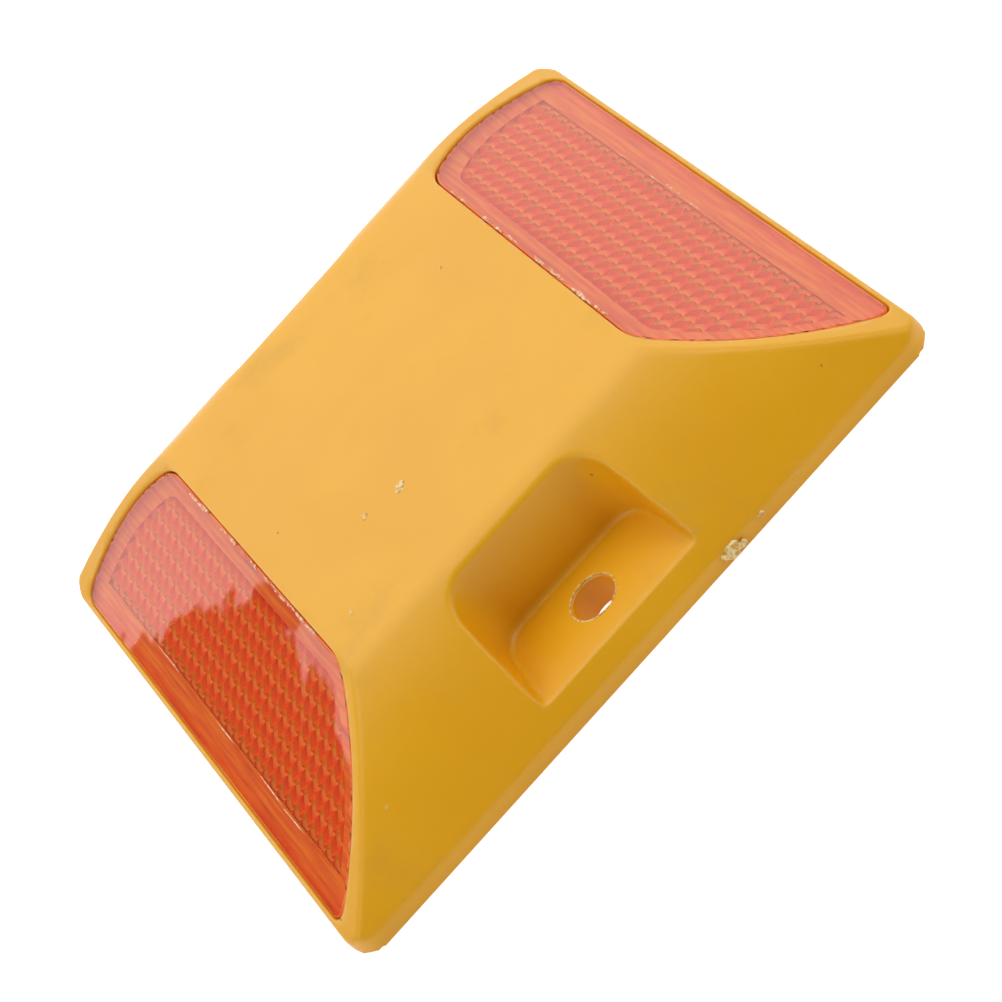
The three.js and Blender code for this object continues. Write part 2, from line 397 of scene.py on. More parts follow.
def hollowShell(shell):
    cavity = bodyBlock("cavityCutter", body["wall"], body["approachWall"], -5 * mm)
    for side in (-1, 1):
        boolean(cavity, pocketBlock("pocketEnvelope", side, body["wall"]))
        boss = addRod("bossEnvelope", pocket["bossRadius"], -6 * mm, pocket["floorHeight"] - body["wall"] / 2,
                      (0, side * pocket["holeSpacing"] / 2), 48)
        boolean(cavity, boss)
    boolean(shell, cavity)
    for side in (1, -1):
        recess = outlineBlock("recessCutter", body["gap"], recessDepth, -12 * mm)
        boolean(shell, onFace(recess, side))
        through = body["approachWall"] + 2 * body["gap"]
        window = outlineBlock("windowCutter", -reflector["windowMargin"], through, -12 * mm, reflector["windowEnd"])
        boolean(shell, onFace(window, side))
        for turn in (30, 60):  # two tapers stand for a small radius round the recess
            lip = body["lip"] * (1 - math.tan(math.radians(turn) / 2))
            boolean(shell, onFace(outlineBlock("lipCutter", body["gap"] + lip, 0.5 * mm, -3 * mm,
                                               taper=math.radians(90 - turn)), side))
        holeY = side * pocket["holeSpacing"] / 2
        boolean(shell, addRod("holeCutter", pocket["holeRadius"], -10 * mm, 10 * mm, (0, holeY)))
        holeEdge = pocket["holeRadius"] - pocket["floorHeight"] + pocket["holeEdge"]
        size = pocket["holeCone"]
        cone = addPrimitive("cone", vertices=64, radius1=0, radius2=size, depth=size)
        cone.data.transform(Matrix.Translation((0, holeY, size / 2 - holeEdge)))
        boolean(shell, cone)
    return shell


hollowShell(shell)
smooth(shell, 34)
print("shell hollowed", len(shell.data.polygons))


# reflectors: a plate with rows of corner cubes on its rear

cubes = {
    "pitch": 2.54 * mm,
    "lean": math.radians(39),
    "root": 1.3 * mm,
    "firstRow": 4.9 * mm,
    "rows": 10,
    "columns": 42,
}
rimRadius = cubes["pitch"] / math.sqrt(3)
faceDrop = cubes["pitch"] / math.sqrt(6)
rowStep = 1.5 * rimRadius * math.tan(cubes["lean"])
firstCube = -(cubes["columns"] + cubes["rows"] / 2) / 2 * cubes["pitch"]
rimRise = 2 * cubes["pitch"] * math.cos(cubes["lean"]) / math.sqrt(6)
highestRim = rimRise + rimRadius / 2 * math.sin(cubes["lean"])
leanRods = Matrix.Translation((0, -cubes["firstRow"], -cubes["root"] - highestRim)) \
    @ Matrix.Rotation(cubes["lean"], 4, "X")


def makeCubeField():
    pitch = cubes["pitch"]
    field = addPrimitive("circle", "cubeField", vertices=6, radius=rimRadius, fill_type="TRIFAN")
    mesh = field.data
    rim = next(vertex.co for vertex in mesh.vertices if vertex.co.length > rimRadius / 2)
    mesh.transform(Matrix.Rotation(math.pi / 6 - math.atan2(rim.y, rim.x), 4, "Z"))
    for vertex in mesh.vertices:
        if vertex.co.length > rimRadius / 2:
            turn = round((math.degrees(math.atan2(vertex.co.y, vertex.co.x)) - 30) / 60) % 6
            vertex.co.z = faceDrop * (1 if turn % 2 else 2)
    bpy.ops.object.mode_set(mode="EDIT")
    bpy.ops.mesh.select_all(action="DESELECT")
    bpy.ops.object.mode_set(mode="OBJECT")
    for edge in mesh.edges:
        ends = [mesh.vertices[index].co for index in edge.vertices]
        middle = (ends[0] + ends[1]) / 2
        rimEdge = all(end.length > rimRadius / 2 for end in ends)
        edge.select = rimEdge and middle.y < -rimRadius * 0.5
    bpy.ops.object.mode_set(mode="EDIT")
    bpy.ops.mesh.select_mode(type="EDGE")
    bpy.ops.mesh.extrude_edges_move(TRANSFORM_OT_translate={"value": (0, 0, rowStep)})
    bpy.ops.mesh.select_all(action="SELECT")
    bpy.ops.mesh.dissolve_limited(angle_limit=math.radians(1))
    bpy.ops.object.mode_set(mode="OBJECT")
    mesh.transform(Matrix.Translation((firstCube - pitch / 2, 1.5 * rimRadius, -rowStep)))  # a row further up
    columnStep, nextRow = (pitch, 0, 0), (pitch / 2, -1.5 * rimRadius, rowStep)
    for count, offset in ((cubes["columns"], columnStep), (cubes["rows"], nextRow)):
        applyModifier(field, "ARRAY", count=count, use_relative_offset=False, use_constant_offset=True,
                      constant_offset_displace=offset)
    bpy.ops.object.mode_set(mode="EDIT")
    bpy.ops.mesh.select_all(action="SELECT")
    bpy.ops.mesh.remove_doubles(threshold=0.02 * mm)
    bpy.ops.mesh.normals_make_consistent(inside=False)
    bpy.ops.mesh.select_all(action="DESELECT")
    bpy.ops.mesh.select_non_manifold(extend=False, use_wire=False, use_boundary=True, use_multi_face=False,
                                     use_non_contiguous=False, use_verts=False)
    bpy.ops.mesh.extrude_edges_move(TRANSFORM_OT_translate={"value": (0, 0, 30 * mm)})
    bpy.ops.transform.resize(value=(1, 1, 0), center_override=(0, 0, 30 * mm))
    bpy.ops.mesh.edge_face_add()
    bpy.ops.mesh.select_all(action="SELECT")
    bpy.ops.mesh.normals_make_consistent(inside=False)
    bpy.ops.object.mode_set(mode="OBJECT")
    mesh.transform(leanRods)
    return field


front = {  # the moulded plate isn't quite flat
    "cell": (0.7 * mm, 0.5 * mm),
    "size": (94 * mm, 30 * mm),
    "middle": -14 * mm,
    "swell": 0.035 * mm,
    "swellEnd": 3.4 * mm,
    "edgeRadius": 0.2 * mm,
}


def frontHeight(planes, x, y):
    depth = outlineDepth(planes, x, y)
    reach = min(max(depth / front["swellEnd"], 0), 1)
    swell = noise.noise(Vector((x * 55, y * 90, 3.1))) * front["swell"]
    return -reflector["setback"] + swell * reach


def makeLens():
    planes = outlinePlanes(0)
    lens = outlineBlock("lens", 0, reflector["setback"] + reflector["thickness"], -1 * mm)
    setback = reflector["setback"]
    counts = [int(size / cell) for size, cell in zip(front["size"], front["cell"])]
    slab = addPrimitive("grid", x_subdivisions=counts[0], y_subdivisions=counts[1], size=1)
    slab.data.transform(Matrix.Translation((0, front["middle"], 0)) @ Matrix.Diagonal((*front["size"], 1, 1)))
    for vertex in slab.data.vertices:
        vertex.co.z = frontHeight(planes, vertex.co.x, vertex.co.y)
    closeSheet(6 * mm)
    boolean(lens, slab)

    def frontEdge(middle):
        return 1 if middle.z > -setback - 0.3 * mm else 0
    roundEdges(lens, front["edgeRadius"], frontEdge, segments=3, sharpest=math.radians(45))
    hollow = outlineBlock("hollowCutter", -fieldMargin, 12 * mm, setback + reflector["web"], fieldEnd)
    boolean(lens, hollow)
    over = reflector["fieldOver"]
    area = outlineBlock("fieldArea", over - fieldMargin, 12 * mm, setback + reflector["web"] / 2,
                        fieldEnd + over)
    boolean(area, makeCubeField(), "INTERSECT")
    boolean(lens, area, "UNION")
    return lens


def nearestCube(spot):  # the row of the cube whose apex is nearest to a point
    pitch = cubes["pitch"]
    row = round(spot.y / (-1.5 * rimRadius))
    column = round((spot.x - firstCube - row * pitch / 2) / pitch)
    best = None
    for nearRow in (row - 1, row, row + 1):
        for nearColumn in (column - 1, column, column + 1):
            apex = Vector((firstCube + nearColumn * pitch + nearRow * pitch / 2, -1.5 * rimRadius * nearRow))
            away = (apex - spot.xy).length
            if best is None or away < best[0]:
                best = (away, nearRow)
    return best[1]


paint = {  # which faces of the plate take the prism-rear material: painted corner-cube light and shade in the field, weld colour on the ring and edges
    "rearTurn": 0.35,
    "rearDepth": 0.75 * mm,
    "flatReach": 0.02 * mm,
    "rimTurn": 0.97,
    "rimWidth": 0.3 * mm,
    "fieldReach": 0.1 * mm,
}


def paintRear(lens):  # rear faces get the prism-rear material and say how high they are above a cube's apex, which sets the painted light and shade
    toRods = leanRods.inverted()
    planes, outer = outlinePlanes(-fieldMargin), outlinePlanes(0)
    setback, reach = reflector["setback"], paint["fieldReach"]
    mesh = lens.data
    shade = mesh.color_attributes.new("cubeShade", "FLOAT_COLOR", "CORNER")
    for polygon in mesh.polygons:
        centre, turn = polygon.center, polygon.normal.z
        rear = turn < paint["rearTurn"] and centre.z < -setback - paint["rearDepth"]
        flat = turn < -0.99 and abs(centre.z + setback + reflector["thickness"]) < paint["flatReach"]
        rim = turn < paint["rimTurn"] and outlineDepth(outer, centre.x, centre.y) < paint["rimWidth"]
        if not (rear or flat or rim):
            continue
        polygon.material_index = 1
        inside = outlineDepth(planes, centre.x, centre.y) > -reach and centre.y > -fieldEnd - reach
        inField = inside and not flat and not rim
        row = nearestCube(toRods @ centre)
        turned = toRods.to_3x3() @ polygon.normal
        marks = (0.5 + 0.5 * turned.x, float(abs(turned.z) < 0.2), float(inField))
        for index in polygon.loop_indices:
            corner = toRods @ mesh.vertices[mesh.loops[index].vertex_index].co
            height = (corner.z - row * rowStep) / (2 * faceDrop)
            shade.data[index].color = (min(max(height, 0), 1), *marks)


lensRight = makeLens()
lensRight.name = lensRight.data.name = "lensRight"
paintRear(lensRight)
print("corner cubes in place", len(lensRight.data.polygons))
faceMap = lensRight.data.uv_layers.new(name="faceMap")
for loop in lensRight.data.loops:
    spot = lensRight.data.vertices[loop.vertex_index].co
    faceMap.data[loop.index].uv = (spot.x * 10 + 0.5, spot.y * 10 + 0.5)
smooth(lensRight, 25)
lensLeft = copyOf(lensRight, "lensLeft")
onFace(lensRight, 1)
onFace(lensLeft, -1)


# trays behind the cubes, and the potting under them

def makeTray(grow=0, name="backing"):
    outerDeep = reflector["trayFloor"] + reflector["trayFloorThickness"] + grow
    tray = outlineBlock(name, grow - reflector["windowMargin"] - body["gap"], outerDeep, recessDepth,
                        reflector["windowEnd"] - body["gap"] + grow)
    if grow == 0:
        room = 2 * reflector["fieldOver"]
        inner = outlineBlock("trayCutter", room - fieldMargin, reflector["trayFloor"], -1 * mm, fieldEnd + room)
        boolean(tray, inner)
        roundEdges(tray, 0.18 * mm, lambda middle: 1, segments=2, sharpest=math.radians(45))
    return tray


backingRight = makeTray(0, "backingRight")
smooth(backingRight)
backingLeft = copyOf(backingRight, "backingLeft")
onFace(backingRight, 1)
onFace(backingLeft, -1)

potting = {
    "cell": 0.75 * mm,
    "sag": 0.35 * mm,
    "grit": 0.16 * mm,
    "lift": 0.05 * mm,
    "pebble": 0.5 * mm,
}


def makePotting():
    inset = body["wall"] + body["gap"]
    fill = bodyBlock("pottingFill", inset, body["approachWall"] + body["gap"], 0)
    for side in (-1, 1):
        boolean(fill, pocketBlock("pocketEnvelope", side, inset, rounded=False))
        boss = addRod("bossEnvelope", pocket["bossRadius"] + body["gap"], -6 * mm, 10 * mm,
                      (0, side * pocket["holeSpacing"] / 2), 48)
        boolean(fill, boss)
        boolean(fill, onFace(makeTray(body["gap"], "trayEnvelope"), side))
    count = int(baseWidth / potting["cell"])
    bed = addPrimitive("grid", x_subdivisions=count, y_subdivisions=count, size=baseWidth)
    for vertex in bed.data.vertices:
        spot = vertex.co
        coarse = noise.noise(spot * 45) * 0.5 + 0.5
        grit = noise.noise(spot * 620) * 0.5 + 0.5
        pebble = max(0, noise.noise(spot * 260 + Vector((7, 0, 0))) - 0.25)
        spot.z = potting["lift"] + coarse * potting["sag"] + grit * potting["grit"] + pebble * potting["pebble"]
    closeSheet(-3 * mm)
    boolean(fill, bed)
    smooth(fill, 50)
    return fill


pottingFill = makePotting()
print("trays and potting done", len(pottingFill.data.polygons))


# moulding leftovers, bits that stick to the surface, and pale lumps that paint glints on the reflectors
crumbs = {
    "gate": ((15.5, -50.9, 1.5), (1.5, 0.55, 0.9)),
    "gateEnds": ((16.9, -51.1, 1.2), (0.7, 0.35, 0.4)),
    "nub": ((21, -50.75, 1.9), (0.5, 0.3, 0.35)),
    "flecks": ((-6.2, -14.3, 1.0, 0.62), (-12, -13, 0.55, 0.35), (-21.4, -24.5, 0.35, 0.2),
               (18, 12, 0.25, 0.16)),
    "flashWidth": 0.16 * mm,
    "flashCount": 34,
    # painted glints: spans across each reflector for thin pale lumps put where glints of light show
    "glints": {1: ((-5, -1.5), (0.5, 5), (6, 9), (15, 18)),
               -1: ((17, 24), (25, 31), (2, 8), (-20, -12))},
    "glintLine": -23.4 * mm,
    "burr": 0.11 * mm,
}


def addLump(centre, size, turn=0, rough=0.45):
    lump = addPrimitive("ico_sphere", subdivisions=3, radius=1)
    drift = Vector(centre) * 13
    for vertex in lump.data.vertices:
        spot = vertex.co.copy()
        swell = 1 + rough * (noise.noise(spot * 1.7 + drift) + 0.5 * noise.noise(spot * 4.5 + drift))
        vertex.co = spot * swell
    lump.data.transform(Matrix.Translation(Vector(centre)) @ Matrix.Rotation(turn, 4, "Z")
                        @ Matrix.Diagonal((*size, 1)))
    return lump


def gather(lumps, name):
    pick(*lumps)
    if len(lumps) > 1:
        bpy.ops.object.join()
    whole = bpy.context.view_layer.objects.active
    whole.name = whole.data.name = name
    smooth(whole, 60)
    return whole


def makeGateStub():
    lumps = [addLump(Vector(centre) * mm, Vector(size) * mm, rough=0.7)
             for centre, size in (crumbs["gate"], crumbs["gateEnds"], crumbs["nub"])]
    return gather(lumps, "gateStub")


def makeFlecks():
    lumps = []
    for x, y, length, width in crumbs["flecks"]:
        lumps.append(addLump((x * mm, y * mm, bodyHeight - 0.01 * mm), (length * mm, width * mm, 0.2 * mm),
                             random.uniform(0.3, 1.2)))
    return gather(lumps, "surfaceFlecks")


def makeWeldFlashAndPaintedGlints(name, side):  # squeezed-out acrylic along the crease edge of a reflector, and thin pale lumps that paint glints along the foot of the cubes
    lumps = []
    for step in range(crumbs["flashCount"]):
        x = random.choice((-17, -8, 2, 9, 19)) + random.gauss(0, 2.6)
        x = max(min(x, 24), -24)
        length = random.uniform(0.25, 1.3) * mm
        width = crumbs["flashWidth"] * random.uniform(0.5, 1.25)
        y = -reflector["topDistance"] - random.uniform(0.0, 0.35) * mm
        lumps.append(addLump((x * mm, y, -0.13 * mm), (length, width, width * 0.8), random.gauss(0, 0.12), 0.6))
    for start, end in crumbs["glints"][side]:  # painted glints: thin pale lumps that stand in for bright lines of light along the foot of the cubes
        centre = ((start + end) / 2 * mm, crumbs["glintLine"] + random.gauss(0, 0.15) * mm, -0.2 * mm)
        size = ((end - start) / 2 * mm, 0.09 * mm, 0.05 * mm)
        lumps.append(addLump(centre, size, random.gauss(0, 0.015), 0.55))
    return onFace(gather(lumps, name), side)


def makeHoleBurrs():
    rings = []
    for side in (-1, 1):
        ring = addPrimitive("torus", major_segments=96, minor_segments=8, minor_radius=crumbs["burr"],
                            major_radius=pocket["holeRadius"] + 0.27 * mm)
        for vertex in ring.data.vertices:
            vertex.co.z *= 1 + 0.8 * noise.noise(vertex.co * 700)
        ring.data.transform(Matrix.Translation((0, side * pocket["holeSpacing"] / 2, pocket["floorHeight"])))
        rings.append(ring)
    return gather(rings, "holeBurrs")


gateStub, surfaceFlecks, holeBurrs = makeGateStub(), makeFlecks(), makeHoleBurrs()
weldFlashAndGlintsRight, weldFlashAndGlintsLeft = makeWeldFlashAndPaintedGlints("weldFlashAndGlintsRight", 1), makeWeldFlashAndPaintedGlints("weldFlashAndGlintsLeft", -1)
print("moulding leftovers added")


# shared surface effects, as node groups

def newGroup(name, inputs, outputs):
    group = bpy.data.node_groups.new(name, "ShaderNodeTree")
    for label, kind, value in inputs:
        socket = group.interface.new_socket(name=label, in_out="INPUT", socket_type=kind)
        if value is not None:
            socket.default_value = value
    for label, kind in outputs:
        group.interface.new_socket(name=label, in_out="OUTPUT", socket_type=kind)
    return group, group.nodes.new("NodeGroupInput").outputs, group.nodes.new("NodeGroupOutput").inputs


def addNode(tree, kind, inputs=None, **settings):
    node = tree.nodes.new(kind)
    for key, value in settings.items():
        setattr(node, key, value)
    for key, value in (inputs or {}).items():
        if isinstance(value, bpy.types.NodeSocket):
            tree.links.new(value, node.inputs[key])
        else:
            node.inputs[key].default_value = value
    return node


def mathNode(tree, operation, first, second=0.0, third=0.0, clamp=False):
    inputs = {0: first, 1: second}
    if operation in ("MULTIPLY_ADD", "COMPARE"):
        inputs[2] = third
    return addNode(tree, "ShaderNodeMath", inputs, operation=operation, use_clamp=clamp).outputs[0]


def rangeNode(tree, value, low, high, toLow=0.0, toHigh=1.0):
    return addNode(tree, "ShaderNodeMapRange",
                   {"Value": value, "From Min": low, "From Max": high, "To Min": toLow, "To Max": toHigh},
                   interpolation_type="SMOOTHSTEP").outputs[0]


def mixNode(tree, factor, first, second):
    return addNode(tree, "ShaderNodeMix", {0: factor, 6: first, 7: second}, data_type="RGBA").outputs[2]


def noiseNode(tree, place, scale, detail=2.0, **inputs):
    inputs.update({"Vector": place, "Scale": scale, "Detail": detail})
    return addNode(tree, "ShaderNodeTexNoise", inputs).outputs


def bumpNode(tree, shader, height, strength, distance):
    bump = addNode(tree, "ShaderNodeBump", {"Height": height, "Strength": strength, "Distance": distance})
    tree.links.new(bump.outputs[0], shader.inputs["Normal"])


def makeGrain():  # fine spark-eroded mould texture with slow waves under it
    group, source, result = newGroup(
        "mouldGrain", (("Vector", "NodeSocketVector", None), ("Grain Size", "NodeSocketFloat", 0.25),
                       ("Grain", "NodeSocketFloat", 1.0), ("Waves", "NodeSocketFloat", 1.0)),
        (("Height", "NodeSocketFloat"), ("Mottle", "NodeSocketFloat")))
    scale = mathNode(group, "DIVIDE", 1000.0, source["Grain Size"])
    fine = noiseNode(group, source["Vector"], scale)
    slow = noiseNode(group, source["Vector"], 95.0)
    broad = noiseNode(group, source["Vector"], 38.0, 4.0)
    grain = mathNode(group, "MULTIPLY", fine[0], source["Grain"])
    waves = mathNode(group, "MULTIPLY", slow[0], source["Waves"])
    group.links.new(mathNode(group, "MULTIPLY_ADD", grain, 0.08, waves), result["Height"])
    group.links.new(broad[0], result["Mottle"])
    return group


def makeSpecks():  # small scattered marks: dust, pits and dark inclusions
    group, source, result = newGroup(
        "specks", (("Vector", "NodeSocketVector", None), ("Spacing", "NodeSocketFloat", 4.0),
                   ("Size", "NodeSocketFloat", 0.08), ("Share", "NodeSocketFloat", 0.3)),
        (("Mask", "NodeSocketFloat"), ("Kind", "NodeSocketFloat")))
    scale = mathNode(group, "DIVIDE", 1000.0, source["Spacing"])
    bend = noiseNode(group, source["Vector"], 900.0, 1.0)
    shift = addNode(group, "ShaderNodeVectorMath", {0: bend["Color"], "Scale": 0.0007}, operation="SCALE")
    place = addNode(group, "ShaderNodeVectorMath", {0: source["Vector"], 1: shift.outputs[0]}, operation="ADD")
    cells = addNode(group, "ShaderNodeTexVoronoi", {"Vector": place.outputs[0], "Scale": scale})
    kind = addNode(group, "ShaderNodeSeparateColor", {0: cells.outputs["Color"]})
    chosen = mathNode(group, "LESS_THAN", kind.outputs[0], source["Share"])
    size = mathNode(group, "MULTIPLY_ADD", kind.outputs[1], source["Size"], 0.01)
    dot = rangeNode(group, mathNode(group, "DIVIDE", cells.outputs["Distance"], size), 1.0, 0.6)
    group.links.new(mathNode(group, "MULTIPLY", dot, chosen), result["Mask"])
    group.links.new(kind.outputs[2], result["Kind"])
    return group


def makeScuffs():  # short fine scratches that run in two loose directions, thicker in patches
    group, source, result = newGroup(
        "scuffs", (("Vector", "NodeSocketVector", None), ("Spacing", "NodeSocketFloat", 5.0),
                   ("Width", "NodeSocketFloat", 0.02), ("Amount", "NodeSocketFloat", 0.5)),
        (("Mask", "NodeSocketFloat"),))
    scale = mathNode(group, "DIVIDE", 1000.0, source["Spacing"])
    total = None
    for turn, stretch in ((0.5, 0.16), (2.1, 0.11)):
        placed = addNode(group, "ShaderNodeMapping", {"Vector": source["Vector"], "Rotation": (0.2, 0.1, turn),
                                                      "Scale": (1, stretch, 1)})
        wander = noiseNode(group, placed.outputs[0], 160.0)
        shift = addNode(group, "ShaderNodeVectorMath", {0: wander["Color"], "Scale": 0.002}, operation="SCALE")
        bent = addNode(group, "ShaderNodeVectorMath", {0: placed.outputs[0], 1: shift.outputs[0]},
                       operation="ADD")
        cells = addNode(group, "ShaderNodeTexVoronoi", {"Vector": bent.outputs[0], "Scale": scale},
                        feature="DISTANCE_TO_EDGE")
        line = rangeNode(group, cells.outputs["Distance"], source["Width"], 0.0)
        total = line if total is None else mathNode(group, "MAXIMUM", total, line)
    patch = noiseNode(group, source["Vector"], 120.0, 3.0)
    limit = mathNode(group, "SUBTRACT", 0.85, mathNode(group, "MULTIPLY", source["Amount"], 0.4))
    limitEnd = mathNode(group, "ADD", limit, 0.12)
    shown = rangeNode(group, patch[0], limit, limitEnd)
    group.links.new(mathNode(group, "MULTIPLY", total, shown), result["Mask"])
    return group


def makeEdgeWear():  # rubbed edges, from how much a rounded normal differs from the real one
    group, source, result = newGroup(
        "edgeWear", (("Vector", "NodeSocketVector", None), ("Radius", "NodeSocketFloat", 0.6),
                     ("Amount", "NodeSocketFloat", 1.0)), (("Mask", "NodeSocketFloat"),))
    radius = mathNode(group, "MULTIPLY", source["Radius"], 0.001)
    soft = addNode(group, "ShaderNodeBevel", {"Radius": radius}, samples=4)
    real = addNode(group, "ShaderNodeNewGeometry")
    match = addNode(group, "ShaderNodeVectorMath", {0: soft.outputs[0], 1: real.outputs["Normal"]},
                    operation="DOT_PRODUCT")
    worn = rangeNode(group, match.outputs["Value"], 0.995, 0.9)
    broken = noiseNode(group, source["Vector"], 700.0, 3.0)
    patchy = rangeNode(group, broken[0], 0.42, 0.6)
    mask = mathNode(group, "MULTIPLY", mathNode(group, "MULTIPLY", worn, patchy), source["Amount"])
    group.links.new(mask, result["Mask"])
    return group


grainGroup, specksGroup, scuffsGroup, wearGroup = makeGrain(), makeSpecks(), makeScuffs(), makeEdgeWear()


def useGroup(tree, group, inputs):
    return addNode(tree, "ShaderNodeGroup", inputs, node_tree=group).outputs


def newMaterial(name, **values):
    material = bpy.data.materials.new(name)
    material.use_nodes = True
    shader = material.node_tree.nodes["Principled BSDF"]
    for key, value in values.items():
        shader.inputs[key].default_value = value
    place = addNode(material.node_tree, "ShaderNodeTexCoord").outputs["Object"]
    return material, material.node_tree, shader, place


# finishes, with painted light and shade on the corner cubes

shellFinish = {
    "colour": (0.90, 0.437, 0.006, 1),
    "deepColour": (0.87, 0.41, 0.005, 1),
    "dust": (0.78, 0.62, 0.36, 1),
    "dirt": (0.20, 0.13, 0.05, 1),
    "smudge": (0.42, 0.24, 0.05, 1),
    "roughness": 0.33,
}


def makeShellPlastic():
    material, tree, shader, place = newMaterial("amberShellPlastic", **{"IOR": 1.5})
    grain = useGroup(tree, grainGroup, {"Vector": place, "Grain Size": 0.3, "Grain": 1.0, "Waves": 0.35})
    fleck = useGroup(tree, specksGroup, {"Vector": place, "Spacing": 7.0, "Size": 0.07, "Share": 0.2})
    dirt = useGroup(tree, specksGroup, {"Vector": place, "Spacing": 5.5, "Size": 0.05, "Share": 0.14})
    scuff = useGroup(tree, scuffsGroup, {"Vector": place, "Spacing": 6.0, "Width": 0.014, "Amount": 0.45})
    wear = useGroup(tree, wearGroup, {"Vector": place, "Radius": 0.5, "Amount": 0.75})
    colour = mixNode(tree, rangeNode(tree, grain["Mottle"], 0.35, 0.65), shellFinish["deepColour"],
                     shellFinish["colour"])
    smear = noiseNode(tree, place, 60.0, 5.0, Roughness=0.65)
    smudge = rangeNode(tree, smear[0], 0.54, 0.78, 0.0, 0.2)
    colour = mixNode(tree, smudge, colour, shellFinish["smudge"])
    for marks, share, tone in ((scuff, 0.35, "dust"), (wear, 0.6, "dust"), (fleck, 0.45, "dust"),
                               (dirt, 0.75, "dirt")):
        colour = mixNode(tree, mathNode(tree, "MULTIPLY", marks["Mask"], share), colour, shellFinish[tone])
    tree.links.new(colour, shader.inputs["Base Color"])
    base = shellFinish["roughness"]
    rough = rangeNode(tree, smear[0], 0.3, 0.75, base - 0.05, base + 0.12)
    rough = mathNode(tree, "MULTIPLY_ADD", scuff["Mask"], 0.2, rough)
    tree.links.new(rough, shader.inputs["Roughness"])
    height = mathNode(tree, "SUBTRACT", grain["Height"], mathNode(tree, "MULTIPLY", scuff["Mask"], 0.12))
    height = mathNode(tree, "MULTIPLY_ADD", fleck["Mask"], 0.25, height)
    bumpNode(tree, shader, height, 0.5, 0.12 * mm)
    return material


lensColourAndPaintedLight = {
    "density": 170.0,
    "absorption": (0.93, 0.48, 0.02, 1),
    # bright, middle, deep and apex are painted light: bright and middle paint the light that lit corner-cube facets
    # send back, deep and apex paint their shade. Density and absorption are the acrylic's own tint, and the weld
    # colours are the border's own colour
    "bright": (1.0, 0.58, 0.03, 1),
    "middle": (1.0, 0.36, 0.010, 1),
    "deep": (0.95, 0.16, 0.002, 1),
    "apex": (0.25, 0.02, 0.0, 1),
    "weld": (0.88, 0.15, 0.004, 1),
    "weldLight": (0.98, 0.28, 0.01, 1),
    "weldDark": (0.62, 0.06, 0.002, 1),
}


def makeAcrylic():
    material, tree, shader, place = newMaterial(
        "amberAcrylic", **{"Base Color": (1, 0.97, 0.93, 1), "IOR": 1.49, "Transmission Weight": 1.0,
                           "Roughness": 0.03})
    scuff = useGroup(tree, scuffsGroup, {"Vector": place, "Spacing": 7.0, "Width": 0.012, "Amount": 0.5})
    dust = useGroup(tree, specksGroup, {"Vector": place, "Spacing": 2.2, "Size": 0.05, "Share": 0.10})
    rough = mathNode(tree, "MULTIPLY_ADD", scuff["Mask"], 0.35, 0.03)
    rough = mathNode(tree, "MULTIPLY_ADD", dust["Mask"], 0.4, rough)
    tree.links.new(rough, shader.inputs["Roughness"])
    slow = noiseNode(tree, place, 140.0, 1.0)
    height = mathNode(tree, "SUBTRACT", slow[0], mathNode(tree, "MULTIPLY", scuff["Mask"], 0.2))
    bumpNode(tree, shader, height, 0.3, 0.1 * mm)
    tint = addNode(tree, "ShaderNodeVolumeAbsorption",
                   {"Color": lensColourAndPaintedLight["absorption"], "Density": lensColourAndPaintedLight["density"]})
    tree.links.new(tint.outputs[0], tree.nodes["Material Output"].inputs["Volume"])
    path = addNode(tree, "ShaderNodeLightPath")
    passed = mathNode(tree, "MAXIMUM", path.outputs["Is Shadow Ray"], path.outputs["Is Diffuse Ray"])
    clear = addNode(tree, "ShaderNodeBsdfTransparent", {"Color": (0.94, 0.94, 0.94, 1)})
    mix = addNode(tree, "ShaderNodeMixShader", {0: passed, 1: shader.outputs[0], 2: clear.outputs[0]})
    tree.links.new(mix.outputs[0], tree.nodes["Material Output"].inputs["Surface"])
    return material


